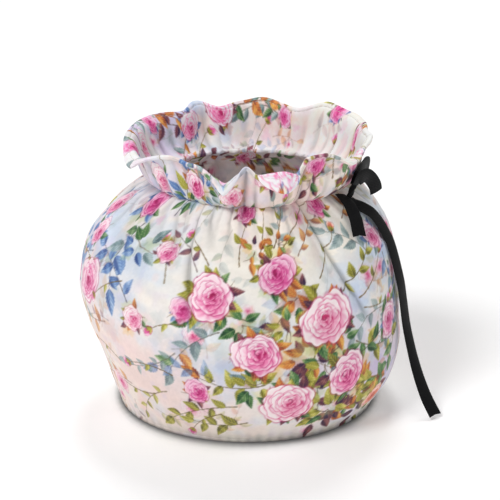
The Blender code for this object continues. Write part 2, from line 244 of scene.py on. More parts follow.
# Colours of the print, as the eye sees them: red, green and blue from 0 to 1.
CREAM = np.array((0.97, 0.945, 0.90))
BLUSH = np.array((0.955, 0.86, 0.835))
SKY = np.array((0.80, 0.86, 0.94))
MAUVE = np.array((0.84, 0.79, 0.90))
STEM = np.array((0.42, 0.33, 0.24))
BUD_STEM = np.array((0.45, 0.36, 0.22))
PETAL_RIM = np.array((1.0, 0.975, 0.975))
Tone = namedtuple("Tone", "pale middle deep")


def shades(*colours):
    return Tone(*map(np.array, colours))


ROSE_TONES = {
    "pink": shades((1.0, 0.885, 0.92), (0.93, 0.52, 0.70), (0.70, 0.08, 0.36)),
    "blush": shades((1.0, 0.93, 0.94), (0.95, 0.66, 0.77), (0.78, 0.16, 0.40)),
    "rose": shades((0.98, 0.76, 0.86), (0.88, 0.36, 0.62), (0.66, 0.06, 0.36)),
    "coral": shades((0.99, 0.82, 0.76), (0.90, 0.48, 0.38), (0.70, 0.20, 0.16)),
}
LEAF_TONES = {
    "green": shades((0.62, 0.72, 0.50), (0.27, 0.45, 0.24), (0.10, 0.26, 0.15)),
    "olive": shades((0.86, 0.83, 0.46), (0.62, 0.60, 0.20), (0.33, 0.32, 0.12)),
    "blue": shades((0.68, 0.78, 0.90), (0.36, 0.50, 0.72), (0.18, 0.29, 0.53)),
    "grey": shades((0.74, 0.80, 0.80), (0.50, 0.60, 0.60), (0.33, 0.42, 0.44)),
    "wine": shades((0.66, 0.42, 0.40), (0.38, 0.18, 0.24), (0.18, 0.10, 0.24)),
    "rust": shades((0.94, 0.72, 0.36), (0.78, 0.44, 0.20), (0.48, 0.20, 0.14)),
}
LEAF_MIXES = {
    "warm": ("olive", "green", "wine", "rust", "olive", "wine"),
    "fresh": ("green", "olive", "grey", "green"),
    "cool": ("blue", "blue", "grey", "blue", "green"),
}

# Soft clouds of colour under the print: where, how wide and high in mm, and how strong.
Wash = namedtuple("Wash", "angle up wide high colour strength")
WASHES = table(Wash, (
    (-62, 105, 60, 48, SKY, 0.72), (-40, 40, 75, 45, BLUSH, 0.9), (-84, 60, 45, 55, BLUSH, 0.55),
    (-8, 60, 36, 30, SKY, 0.45), (66, 92, 45, 55, SKY, 0.95), (56, 36, 55, 40, MAUVE, 0.75),
    (24, 120, 45, 26, CREAM, 0.8), (12, 165, 90, 30, BLUSH, 0.75), (-70, 166, 60, 30, MAUVE, 0.6),
    (-22, 158, 34, 22, SKY, 0.6), (110, 60, 55, 55, BLUSH, 0.75), (150, 115, 60, 50, SKY, 0.8),
    (196, 50, 70, 50, MAUVE, 0.55), (230, 105, 60, 50, BLUSH, 0.8), (146, 170, 70, 34, BLUSH, 0.85),
    (190, 169, 60, 30, BLUSH, 0.75), (212, 165, 55, 34, SKY, 0.9), (250, 168, 60, 34, MAUVE, 0.9),
))

# Roses: where the heart is, how wide in mm, which way it looks, how much from the side, its tone,
# how strongly it is painted, and the mix of leaves behind it, which is warm where it isn't given.
Rose = namedtuple("Rose", "angle up wide turn side tone strength leaves", defaults=["warm"])
ROSES = table(Rose, (
    (-12, 92, 27, 200, 0.75, "pink", 1), (13, 103, 24, 320, 0.7, "rose", 1),
    (31, 76, 32, 300, 0.78, "blush", 1), (5, 61, 27, 250, 0.72, "pink", 1),
    (40, 42, 27, 340, 0.8, "pink", 1), (17, 31, 31, 260, 0.74, "blush", 1),
    (-17, 38, 17, 220, 0.62, "rose", 0.95), (-41, 74, 15, 240, 0.66, "blush", 0.85),
    (-33, 112, 14, 60, 0.64, "pink", 0.9), (-58, 136, 24, 210, 0.7, "rose", 0.95, "cool"),
    (-76, 108, 19, 160, 0.7, "pink", 0.85, "cool"), (-88, 78, 22, 120, 0.72, "blush", 0.75, "cool"),
    (-60, 26, 18, 250, 0.66, "blush", 0.55, ""), (-2, 139, 17, 280, 0.62, "rose", 1),
    (40, 140, 18, 300, 0.66, "rose", 0.95), (63, 112, 20, 40, 0.68, "pink", 0.85, "cool"),
    (66, 62, 22, 320, 0.7, "pink", 0.85, "cool"), (60, 18, 18, 300, 0.7, "coral", 0.95),
    (73, 88, 13, 10, 0.66, "blush", 0.7, "cool"), (-30, 159, 20, 240, 0.66, "pink", 0.95),
    (10, 167, 20, 90, 0.66, "pink", 0.95), (-13, 166, 13, 40, 0.66, "rose", 0.95, "cool"),
    (17, 168, 18, 130, 0.7, "pink", 1, "cool"), (-10, 155, 16, 240, 0.66, "blush", 0.9),
    (36, 169, 15, 60, 0.66, "rose", 0.85), (-52, 159, 18, 200, 0.7, "blush", 0.9, "cool"),
    (-84, 124, 20, 160, 0.7, "pink", 0.9, "cool"), (-70, 84, 26, 140, 0.75, "pink", 0.85, ""),
    (-22, 84, 14, 200, 0.66, "rose", 0.8, "cool"), (62, 167, 19, 60, 0.68, "pink", 0.9, "cool"),
    (-80, 170, 16, 140, 0.66, "rose", 0.8, "cool"), (100, 96, 27, 220, 0.74, "pink", 1),
    (119, 70, 30, 280, 0.78, "blush", 1), (103, 42, 24, 320, 0.72, "rose", 0.95),
    (136, 38, 28, 250, 0.76, "pink", 1), (158, 96, 24, 200, 0.7, "pink", 0.95, "cool"),
    (176, 66, 30, 300, 0.76, "blush", 1), (192, 34, 25, 340, 0.74, "pink", 1),
    (205, 104, 26, 240, 0.74, "rose", 0.95, "cool"), (226, 60, 30, 260, 0.76, "blush", 1),
    (246, 92, 22, 180, 0.7, "pink", 0.9), (243, 28, 22, 320, 0.7, "coral", 0.9),
    (124, 130, 18, 290, 0.66, "rose", 0.95), (182, 134, 20, 220, 0.68, "pink", 0.95),
    (222, 138, 18, 260, 0.66, "blush", 0.95), (104, 166, 19, 80, 0.66, "pink", 0.95),
    (131, 173, 15, 240, 0.66, "rose", 0.9, "cool"), (160, 167, 14, 300, 0.62, "rose", 0.85),
    (196, 171, 22, 120, 0.7, "pink", 0.95), (216, 164, 20, 60, 0.66, "pink", 0.95, "cool"),
    (238, 170, 16, 200, 0.66, "rose", 0.9, "cool"), (254, 161, 18, 200, 0.66, "blush", 0.9, ""),
))

# Sprays of leaves: where the stem starts, which way it grows, how long it is in mm, how much it
# bends, how many leaves it has and how long they are.
Spray = namedtuple("Spray", "angle up turn long bend leaves leaf tone strength")
SPRAYS = table(Spray, (
    (20, 90, 215, 34, 0.3, 5, 11, "wine", 1), (24, 52, 300, 42, -0.3, 7, 12, "wine", 1),
    (26, 58, 250, 30, 0.4, 5, 11, "olive", 1), (44, 60, 330, 38, 0.4, 6, 12, "olive", 1),
    (40, 88, 20, 34, 0.3, 6, 10, "olive", 1), (46, 52, 15, 36, 0.2, 5, 13, "green", 1),
    (30, 22, 350, 46, 0.3, 7, 12, "wine", 1), (34, 30, 20, 36, -0.4, 6, 12, "rust", 1),
    (8, 44, 190, 36, -0.4, 6, 11, "olive", 0.95), (2, 80, 160, 32, 0.4, 5, 11, "green", 0.95),
    (-8, 74, 195, 40, 0.5, 6, 11, "grey", 0.8), (-2, 30, 185, 46, 0.3, 6, 11, "olive", 0.9),
    (2, 18, 195, 34, -0.3, 5, 12, "olive", 0.9), (-10, 46, 150, 34, 0.5, 5, 10, "blue", 0.55),
    (14, 118, 70, 34, 0.4, 6, 8, "grey", 0.75), (22, 112, 60, 38, -0.3, 7, 8, "rust", 0.7),
    (-18, 104, 120, 26, 0.3, 4, 9, "wine", 0.75), (-44, 82, 130, 40, 0.4, 7, 12, "blue", 0.85),
    (-52, 124, 250, 40, 0.4, 7, 12, "blue", 0.85), (-40, 132, 85, 44, -0.2, 7, 13, "blue", 1),
    (-72, 98, 200, 38, 0.4, 7, 11, "blue", 0.7), (-80, 70, 245, 40, 0.4, 7, 11, "grey", 0.75),
    (-56, 66, 195, 36, -0.3, 6, 9, "rust", 0.55), (-50, 30, 170, 40, 0.3, 7, 8, "rust", 0.6),
    (-30, 34, 200, 34, 0.5, 6, 8, "olive", 0.75), (-24, 60, 220, 40, -0.4, 8, 7, "grey", 0.7),
    (56, 104, 130, 34, 0.4, 6, 11, "grey", 0.8), (66, 100, 280, 34, 0.4, 6, 10, "blue", 0.75),
    (60, 72, 180, 28, 0.5, 5, 9, "grey", 0.65), (70, 50, 250, 34, -0.4, 6, 12, "green", 0.9),
    (64, 30, 160, 30, 0.3, 5, 11, "olive", 0.95), (50, 128, 30, 30, 0.3, 5, 10, "rust", 0.8),
    (52, 151, 80, 44, 0.2, 7, 11, "olive", 0.9), (70, 158, 110, 40, 0.3, 6, 12, "olive", 0.9),
    (-26, 153, 110, 36, -0.3, 6, 12, "blue", 1), (-22, 163, 60, 34, 0.3, 5, 11, "blue", 0.9),
    (-88, 163, 70, 36, -0.3, 6, 10, "olive", 0.85), (-66, 161, 80, 36, 0.3, 6, 11, "grey", 0.75),
    (14, 163, 30, 34, 0.4, 6, 10, "blue", 0.85), (36, 160, 60, 38, 0.3, 6, 10, "grey", 0.7),
))

# Masses of leaves with no rose in front, in mm.
Clump = namedtuple("Clump", "angle up reach leaves leaf mix")
CLUMPS = table(Clump, (
    (22, 90, 9, 9, 9, "warm"), (16, 76, 9, 9, 9, "warm"), (24, 56, 11, 13, 10, "warm"),
    (30, 52, 10, 10, 10, "warm"), (36, 60, 9, 9, 10, "fresh"), (46, 30, 11, 12, 11, "warm"),
    (34, 22, 11, 12, 11, "warm"), (54, 14, 11, 11, 10, "warm"), (4, 44, 8, 8, 10, "fresh"),
    (0, 78, 7, 7, 9, "fresh"), (4, 116, 7, 8, 7, "warm"), (14, 120, 7, 8, 7, "warm"),
    (-46, 112, 9, 7, 10, "cool"), (-38, 146, 10, 9, 10, "cool"), (-84, 96, 9, 6, 9, "cool"),
    (-24, 157, 8, 8, 9, "cool"), (34, 161, 8, 8, 8, "warm"), (56, 155, 8, 8, 9, "warm"),
    (112, 56, 11, 12, 10, "warm"), (128, 52, 10, 10, 10, "warm"), (148, 80, 10, 10, 10, "cool"),
    (166, 48, 11, 12, 10, "warm"), (184, 50, 10, 11, 10, "fresh"), (210, 84, 11, 11, 10, "cool"),
    (216, 44, 11, 12, 10, "warm"), (236, 76, 10, 10, 10, "warm"),
))

# Buds on long thin stems, in the same terms. wide is the bud's own width in mm.
Bud = namedtuple("Bud", "angle up turn long bend wide tone strength")
BUDS = table(Bud, (
    (-2, 108, 100, 24, -0.3, 6, "pink", 1), (6, 114, 80, 26, 0.2, 4.5, "coral", 0.95),
    (12, 118, 62, 34, 0.3, 4.2, "rose", 1), (16, 118, 50, 38, -0.2, 3.6, "rose", 1),
    (-14, 108, 125, 22, 0.3, 4, "rose", 0.95), (-20, 76, 170, 20, 0.4, 4.5, "rose", 0.95),
    (30, 98, 40, 30, 0.3, 4.5, "coral", 1), (48, 82, 30, 30, 0.3, 5, "rose", 0.95),
    (50, 76, 350, 26, 0.3, 4, "blush", 0.8), (56, 50, 40, 26, 0.3, 4.2, "rose", 0.9),
    (-26, 46, 160, 30, 0.4, 4.6, "rose", 0.95), (-36, 30, 190, 34, -0.3, 4, "coral", 0.9),
    (-52, 44, 150, 26, 0.4, 3.6, "coral", 0.7), (-48, 92, 200, 26, 0.3, 4, "pink", 0.8),
    (-30, 96, 100, 24, 0.3, 4.2, "pink", 0.85), (-64, 88, 140, 24, 0.4, 4.2, "pink", 0.8),
    (-8, 24, 200, 26, 0.4, 4.6, "rose", 0.9), (46, 22, 330, 24, 0.3, 4.6, "coral", 0.95),
    (24, 150, 60, 26, 0.3, 4.4, "rose", 0.95), (-12, 151, 120, 26, 0.3, 4.4, "pink", 0.9),
    (46, 160, 100, 24, 0.3, 4.4, "pink", 0.85), (-48, 163, 80, 24, 0.3, 4.4, "pink", 0.9),
))


# The shape of the cloth


def slopes(places, values):
    """The slope at each place of a closed curve through the values that never overshoots them."""
    count = len(values)
    found = []
    for i in range(count):
        before = (values[i] - values[i - 1]) / ((places[i] - places[i - 1]) % 360)
        after = (values[(i + 1) % count] - values[i]) / ((places[(i + 1) % count] - places[i]) % 360)
        found.append(0.0 if before * after <= 0 else 2 * before * after / (before + after))
    return np.array(found)


def hermite(a, b, slope_a, slope_b, gap, t):
    return (
        a * (1 + 2 * t) * (1 - t) ** 2
        + b * t * t * (3 - 2 * t)
        + gap * slope_a * t * (1 - t) ** 2
        - gap * slope_b * t * t * (1 - t)
    )


def round_the_rim(column, angle):
    """One column of RIM at an array of angles."""
    angles = np.array([point.angle for point in RIM], float)
    values = np.array([getattr(point, column) for point in RIM])
    steep = slopes(angles, values)
    turn = (angle - angles[0]) % 360 + angles[0]
    i = np.searchsorted(angles, turn, side="right") - 1
    j = (i + 1) % len(angles)
    gap = (angles[j] - angles[i]) % 360
    return hermite(values[i], values[j], steep[i], steep[j], gap, (turn - angles[i]) / gap)


def through_sections(column, level):
    """One column of BODY at a level from 0 to 1, on a smooth curve through its values."""
    values = [getattr(section, column) for section in BODY]
    place = level * (len(values) - 1)
    i = min(int(place), len(values) - 2)
    t = place - i
    slope_a = (values[i + 1] - values[max(i - 1, 0)]) / 2
    slope_b = (values[min(i + 2, len(values) - 1)] - values[i]) / 2
    return hermite(values[i], values[i + 1], slope_a, slope_b, 1.0, t)


def round_four(left, front, right, back, angle):
    turn = np.radians(angle)
    mean = (left + front + right + back) / 4
    oval = (front + back - left - right) / 4
    across = (right - left) / 2
    return mean + (front - back) / 2 * np.cos(turn) + across * np.sin(turn) + oval * np.cos(2 * turn)


def drawn_in(table, angle, height):
    """How far the troughs in a table draw the cloth in, at an array of angles and one height."""
    drawn = np.zeros_like(angle)
    for gather in table:
        along = (NECK_HEIGHT - height) / (NECK_HEIGHT - gather.end_height)
        if not 0 <= along < 1:
            continue
        middle = gather.neck_angle + (gather.end_angle - gather.neck_angle) * along
        off = ((angle - middle + 180) % 360 - 180) / (gather.width * (1 + 0.5 * along))
        fade = sin(pi * min(1.0, 0.25 + 0.75 * along)) ** 0.8
        drawn += gather.depth * fade * np.exp(-off * off)
    return drawn


def ripple(angle, count, seed):
    """An uneven wave round the cosy, about count folds of it, from -1 to 1."""
    turn = np.radians(angle)
    wobble = 0.5 * np.sin(3 * turn + seed) + 0.35 * np.sin(7 * turn + 2.1 * seed)
    size = 0.7 + 0.3 * np.sin(5 * turn + 1.7 * seed)
    return size * np.sin(count * turn + 2.4 * wobble + seed)


def small_relief(angle, height):
    """Fine unevenness of the sewn cloth that stands out from the main shape, in metres."""
    near_neck = exp(-(((NECK_HEIGHT - height) / 0.010) ** 2))
    near_hem = exp(-((height / 0.007) ** 2))
    belly = sin(pi * min(1.0, max(0.0, height / 0.12)))
    slow = 0.5 * ripple(angle + 1600 * height, 5, 0.4) + 0.3 * ripple(angle - 900 * height, 8, 2.2)
    neck, hem = ripple(angle, 62, 1.0), ripple(angle, 74, 0.3)
    return NECK_RIPPLE * near_neck * neck + HEM_RIPPLE * near_hem * hem + BELLY_RIPPLE * belly * slow


def on_axis(radius, angle, height, lean):
    turn = np.radians(angle)
    x = AXIS_X + lean + radius * np.sin(turn)
    y = AXIS_Y - radius * np.cos(turn)
    return np.stack([x, y, np.broadcast_to(height, np.shape(x))], axis=-1)


def body_points(angle, level):
    left, front, right, back, height, lean = (
        through_sections(column, level)
        for column in ("left", "front", "right", "back", "height", "lean")
    )
    radius = round_four(left, front, right, back, angle) - drawn_in(GATHERS, angle, height)
    radius = radius - CREASE_DEPTH * drawn_in(CREASES, angle, height) + small_relief(angle, height)
    return on_axis(radius, angle, height, lean)


def bends(t):
    return (1 - t) ** 3, 3 * t * (1 - t) ** 2, 3 * t * t * (1 - t), t**3


def frill_points(angle, level):
    neck = NECK_RADIUS - drawn_in(GATHERS, angle, NECK_HEIGHT)
    neck = neck - CREASE_DEPTH * drawn_in(CREASES, angle, NECK_HEIGHT)
    neck = neck + small_relief(angle, NECK_HEIGHT)
    reach = round_the_rim("reach", angle)
    out = reach - neck
    low, high = neck + POUCH_REACH * out, neck + CROWN_REACH * out
    a, b, c, d = bends(level)
    radius = a * neck + b * low + c * high + d * reach
    height = (a + b) * NECK_HEIGHT + b * POUCH_RISE
    height = height + c * round_the_rim("crown", angle) + d * round_the_rim("height", angle)
    pleats = FRILL_RIPPLE * sin(pi * min(1.0, 0.2 + level)) * (1 - level) * ripple(angle, 46, 0.6)
    near_rim = exp(-(((level - 0.93) / 0.06) ** 2))
    radius = radius + pleats + RIM_RIPPLE * near_rim * ripple(angle, 88, 0.9)
    height = height + RIM_WAVE * level * ripple(angle, 17, 1.9)
    return on_axis(radius, angle, height, NECK_LEAN)


def run_along(points):
    """The way along a line at each of its points."""
    return np.concatenate([[0.0], np.cumsum(np.linalg.norm(np.diff(points, axis=0), axis=1))])


def way_up():
    """(distances from the hem along the cloth, places there). A place is from 0 to 1 up the body and
    from 1 to 2 up the frill. The body is measured at the front."""
    levels, frill = np.linspace(0, 1, 201), np.linspace(0, 1, 61)
    body = HEM_HEIGHT + run_along([body_points(np.array([0.0]), level)[0] for level in levels])
    rows = np.array([frill_points(LEFT_SEAM_ANGLE + np.arange(0.0, 360.0, 10.0), level) for level in frill])
    steps = np.linalg.norm(np.diff(rows, axis=0), axis=2).mean(axis=1)
    along = np.concatenate([[0.0], body, body[-1] + np.cumsum(steps)])
    return along, np.concatenate([[-1.0], levels, 1.0 + frill[1:]])


def row_points(angle, distance, ways):
    """A row of the cloth's middle surface, at one distance from the hem."""
    place = float(np.interp(distance, *ways))
    if distance < HEM_HEIGHT:
        row = body_points(angle, 0.0)
        row[:, 2] = distance
        return row
    return body_points(angle, max(0.0, place)) if place <= 1 else frill_points(angle, place - 1)


def half_gap(slit, height):
    share = (height - slit.bottom) / (slit.top - slit.bottom)
    open_by = slit.half_width * sin(pi * share) ** 0.7 if 0 < share < 1 else 0.0
    return SEAM_GAP / 2 + open_by


def eased(count, length, roll):
    """count + 1 places from 0 to length, with extra ones close to each end, where the edge rolls."""
    ends = roll * np.array(ROLL_PLACES)
    middle = np.linspace(roll, length - roll, count + 1)
    return np.concatenate([ends, middle, length - ends[::-1]])


def rolled(place, length, roll):
    """From 0 on an edge to 1 past its roll, for the cloth's half thickness near its edges."""
    near = np.clip(np.minimum(place, length - place) / roll, 0, 1)
    return np.sqrt(1 - (1 - near) ** 2)


def banded(distance, total):
    """How much thicker the cloth is where its edge is turned in and sewn down."""
    past = (distance - total + RIM_BAND) / GROOVE_WIDTH
    return 1.0 + BAND_THICKER * (float(smooth(0, 1, past)) - exp(-(past**2)))


def panel_grid(start, start_slit, end, end_slit, columns, rows, ways, pick=None):
    """(middle surface, outward half thickness, angles, distances) of a panel, as grids."""
    half = CLOTH_THICKNESS / 2
    total = ways[0][-1]
    distances = eased(rows, total, half) if pick is None else pick(total, half)
    middle, angles_at, thick = [], [], []
    for distance in distances:
        place = float(np.interp(distance, *ways))
        level = min(1.0, max(0.0, place))
        height = through_sections("height", level) if place <= 1 else FRILL_HEIGHT
        radius = through_sections("front", level) if place <= 1 else FRILL_RADIUS
        first = start + degrees(half_gap(start_slit, height) / radius)
        last = end - degrees(half_gap(end_slit, height) / radius)
        length = radians(last - first) * radius
        across = eased(columns, length, half)
        angle = first + (last - first) * across / length
        middle.append(row_points(angle, distance, ways))
        angles_at.append(angle)
        edges = rolled(across, length, half) * rolled(distance, total, half)
        thick.append(edges * half * banded(distance, total))
    return np.array(middle), np.array(thick), np.array(angles_at), distances


def facing_of(grid):
    """The outward unit normal at each point of a grid."""
    along = np.gradient(grid, axis=1)
    up = np.gradient(grid, axis=0)
    facing = np.cross(along, up)
    size = np.linalg.norm(facing, axis=2, keepdims=True)
    return facing / np.maximum(size, 1e-12)


def spread(grid, reach, axis):
    """Each point's mean with its neighbours, reach places to each side along an axis."""
    size = 2 * reach + 1
    pad = [(0, 0)] * 3
    pad[axis] = (reach + 1, reach)
    total = np.cumsum(np.pad(grid, pad, mode="edge"), axis=axis)
    count = grid.shape[axis]
    high = np.take(total, np.arange(size, size + count), axis=axis)
    return (high - np.take(total, np.arange(count), axis=axis)) / size


def fold_shade(points, facing):
    """Painted shade in folds and painted light on their ridges: how much darker or lighter the print is
    made there.
    """
    near = spread(spread(points, SHADE_REACH, 0), SHADE_REACH, 1)
    wide = spread(spread(points, 3 * SHADE_REACH, 0), 2 * SHADE_REACH, 1)
    proud = ((points - near) * facing).sum(axis=2) * 0.9 + ((points - wide) * facing).sum(axis=2) * 0.35
    proud = proud - 0.75 * proud.mean(axis=1, keepdims=True)
    return np.clip(1.0 + SHADE_STRENGTH * proud, SHADE_DARKEST, SHADE_LIGHTEST)[..., None]


def mesh_from_grid(name, points, flip, colours, facing):
    rows, columns = points.shape[:2]
    index = np.arange(rows * columns).reshape(rows, columns)
    a, b = index[:-1, :-1].ravel(), index[:-1, 1:].ravel()
    c, d = index[1:, 1:].ravel(), index[1:, :-1].ravel()
    faces = np.stack([a, d, c, b] if flip else [a, b, c, d], axis=1)
    mesh = bpy.data.meshes.new(name)
    mesh.vertices.add(rows * columns)
    mesh.vertices.foreach_set("co", points.reshape(-1, 3).astype(np.float32).ravel())
    mesh.loops.add(faces.size)
    mesh.loops.foreach_set("vertex_index", faces.astype(np.int32).ravel())
    mesh.polygons.add(len(faces))
    mesh.polygons.foreach_set("loop_start", np.arange(0, faces.size, 4, dtype=np.int32))
    mesh.update(calc_edges=True)
    mesh.shade_smooth()
    mesh.normals_split_custom_set_from_vertices(facing.reshape(-1, 3).tolist())
    # The point colours: the print with its painted shade and painted light.
    layer = mesh.color_attributes.new("print_painted_shade_and_light", "FLOAT_COLOR", "POINT")
    full = np.ones((rows * columns, 4), np.float32)
    full[:, :3] = colours.reshape(-1, 3)
    layer.data.foreach_set("color", full.ravel())
    return mesh


def add_piece(name, mesh, material, slot=None, node_name=None):
    """A piece of the scene. One with a slot rides on the root, and may replace a CAD node."""
    piece = bpy.data.objects.new(name, mesh)
    bpy.context.scene.collection.objects.link(piece)
    piece.data.materials.append(material)
    if slot:
        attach(piece, "root")
    if node_name:
        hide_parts(node_name)
    return piece


def finished(shape, name, *about):
    """The piece that a bmesh was made for."""
    mesh = bpy.data.meshes.new(name)
    shape.to_mesh(mesh)
    shape.free()
    mesh.shade_smooth()
    return add_piece(name, mesh, *about)


def skin(shape, rings):
    """Faces between rings of points, with both ends closed."""
    rings = [[shape.verts.new(point) for point in ring] for ring in rings]
    for low, high in zip(rings, rings[1:]):
        for k in range(len(low)):
            after = (k + 1) % len(low)
            shape.faces.new((low[k], low[after], high[after], high[k]))
    shape.faces.new(rings[0][::-1])
    shape.faces.new(rings[-1])


# The print


class Map:
    """The flat map of the print, and where a place on the cloth is on it."""

    def __init__(self):
        self.wide = int((MAP_RIGHT - MAP_LEFT) * MM_A_DEGREE * MAP_DOTS)
        self.high = int(MAP_TOP * MAP_DOTS)
        self.dots = np.ones((self.high, self.wide, 3)) * CREAM
        self.chance = np.random.RandomState(11)
        self.draw = self.chance.uniform

    def mm(self, angle):
        return (angle - MAP_LEFT) * MM_A_DEGREE

    def window(self, x, y, reach):
        """(slices, x grid, y grid) of the dots within reach of a place, in mm from it."""
        left = max(0, int((x - reach) * MAP_DOTS))
        right = min(self.wide, int((x + reach) * MAP_DOTS) + 1)
        low = max(0, int((y - reach) * MAP_DOTS))
        high = min(self.high, int((y + reach) * MAP_DOTS) + 1)
        if right <= left or high <= low:
            return None
        xs = (np.arange(left, right) + 0.5) / MAP_DOTS - x
        ys = (np.arange(low, high) + 0.5) / MAP_DOTS - y
        return (slice(low, high), slice(left, right)), *np.meshgrid(xs, ys)

    def one_of(self, things):
        return things[self.chance.randint(len(things))]

    def lay(self, where, cover, colour):
        cover = np.clip(cover, 0, 1)[..., None]
        self.dots[where] = self.dots[where] * (1 - cover) + colour * cover

    def colours_at(self, angles, distances):
        """The print's colour at each point of a grid, as linear light."""
        x = np.clip(self.mm(angles) * MAP_DOTS - 0.5, 0, self.wide - 1.001)
        y = np.clip(distances * 1000 * MAP_DOTS - 0.5, 0, self.high - 1.001)
        y = np.broadcast_to(y[:, None], x.shape)
        i, j = x.astype(int), y.astype(int)
        s, t = (x - i)[..., None], (y - j)[..., None]
        low = self.dots[j, i] * (1 - s) + self.dots[j, i + 1] * s
        high = self.dots[j + 1, i] * (1 - s) + self.dots[j + 1, i + 1] * s
        seen = np.clip(low * (1 - t) + high * t, 0, 1)
        # the usual curve from colours on a screen to linear light
        return np.where(seen <= 0.04045, seen / 12.92, ((seen + 0.055) / 1.055) ** 2.4)


def smooth(low, high, value):
    t = np.clip((value - low) / (high - low), 0, 1)
    return t * t * (3 - 2 * t)


def turned(x, y, heading):
    """Places as ways along a heading and to the left of it."""
    return x * cos(heading) + y * sin(heading), y * cos(heading) - x * sin(heading)


def mixed(a, b, share):
    share = share[..., None]
    return a * (1 - share) + b * share


def cloud(wide, high, cell, chance):
    """Smooth uneven values from 0 to 1 on a field of wide by high dots, with lumps of cell dots."""
    columns, rows = int(wide / cell) + 3, int(high / cell) + 3
    knots = chance.rand(rows, columns)
    x, y = np.arange(wide) / cell, np.arange(high) / cell
    i, j = x.astype(int), y.astype(int)
    s, t = smooth(0, 1, x - i), smooth(0, 1, y - j)
    low = knots[j][:, i] * (1 - s) + knots[j][:, i + 1] * s
    high_row = knots[j + 1][:, i] * (1 - s) + knots[j + 1][:, i + 1] * s
    return low * (1 - t)[:, None] + high_row * t[:, None]


def paint_ground(art):
    """Cream with soft clouds of blush, sky and mauve, uneven like watercolour."""
    whole = (slice(None), slice(None))
    lumps = sum(
        share * cloud(art.wide + LUMPS_MORE, art.high + LUMPS_MORE, cell * MAP_DOTS, art.chance)
        for share, cell in ((0.5, 26.0), (0.3, 11.0), (0.2, 4.5))
    )
    xs = (np.arange(art.wide) + 0.5) / MAP_DOTS
    ys = (np.arange(art.high) + 0.5) / MAP_DOTS
    up, across = LUMPS_STEP
    for k, wash in enumerate(WASHES):
        x = (xs - art.mm(wash.angle))[None, :] / wash.wide
        y = (ys - wash.up)[:, None] / wash.high
        here = lumps[k * up : k * up + art.high, k * across : k * across + art.wide]
        cover = np.exp(-1.3 * (x * x + y * y)) * smooth(0.22, 0.62, here) * 1.25
        art.lay(whole, wash.strength * cover, wash.colour)
    for colour, cell, strength in ((SKY, 9.0, 0.30), (BLUSH, 7.0, 0.35), (MAUVE, 6.0, 0.22)):
        spots = cloud(art.wide, art.high, cell * MAP_DOTS, art.chance)
        art.lay(whole, strength * smooth(0.62, 0.95, spots), colour)
    fine = cloud(art.wide, art.high, 1.2 * MAP_DOTS, art.chance) - 0.5
    art.dots += 0.022 * fine[..., None]


def paint_stem(art, x, y, turn, long, bend, thick, colour, strength):
    """A tapering curved stem. Returns its points and headings, from start to tip."""
    count = max(6, int(long / 1.6))
    places = []
    heading = radians(turn)
    for i in range(count + 1):
        places.append((x, y, heading))
        x += cos(heading) * long / count
        y += sin(heading) * long / count
        heading += bend * 1.8 / count + 0.16 * sin(2.3 * i + turn)
    points = np.array(places)[:, :2]
    middle, reach = points.mean(axis=0), np.ptp(points, axis=0).max() / 2 + 2.5
    found = art.window(middle[0], middle[1], reach + long * 0.12)
    if found is None:
        return places
    where, gx, gy = found
    nearest = np.full(gx.shape, -9.0)
    for i in range(count):
        ax, ay = points[i] - middle
        dx, dy = points[i + 1] - points[i]
        t = np.clip(((gx - ax) * dx + (gy - ay) * dy) / (dx * dx + dy * dy), 0, 1)
        off = np.hypot(gx - ax - t * dx, gy - ay - t * dy)
        width = thick * (1.0 - 0.6 * (i + t) / count) * (1 + 0.25 * np.sin(3.1 * (i + t)))
        nearest = np.maximum(nearest, width - off)
    art.lay(where, strength * smooth(-0.20, 0.14, nearest), colour)
    return places


def paint_leaf(art, x, y, turn, long, tone, strength):
    """A pointed, toothed leaf that grows from a place, with its two halves in different light."""
    heading = radians(turn)
    middle_x, middle_y = x + cos(heading) * long / 2, y + sin(heading) * long / 2
    found = art.window(middle_x, middle_y, long * 0.62)
    if found is None:
        return
    where, gx, gy = found
    along, side = turned(gx / long, gy / long, heading)
    along += 0.5
    side = side - 0.10 * np.sin(np.pi * np.clip(along, 0, 1)) * art.draw(-1, 1)
    broad = art.draw(0.24, 0.31)
    t = np.clip(along, 0, 1)
    edge = broad * np.sin(np.pi * t**0.75) ** 0.9 * (1 - 0.25 * t)
    edge = edge * (1 + 0.07 * np.sin(along * 44))
    soft = 0.5 / long
    ends = smooth(-0.02, 0.02, along) * smooth(1.02, 0.98, along)
    inside = smooth(-soft, soft, edge - np.abs(side)) * ends
    veins = np.sin((along - np.abs(side) * 1.3) * 34)
    light = np.where(side > 0, 0.62, 0.30) + 0.16 * veins + 0.35 * (t - 0.45)
    light = light + 0.25 * art.draw(-1, 1) + 0.20 * np.sin(gx * 0.9 + gy * 0.7)
    colour = mixed(tone.deep, tone.middle, smooth(0.0, 0.5, light))
    colour = mixed(colour, tone.pale, smooth(0.5, 1.1, light))
    art.lay(where, strength * inside, colour)
    rib = smooth(0.30 / long + 0.012, 0.012, np.abs(side)) * inside
    art.lay(where, 0.55 * strength * rib, tone.pale * 0.9)


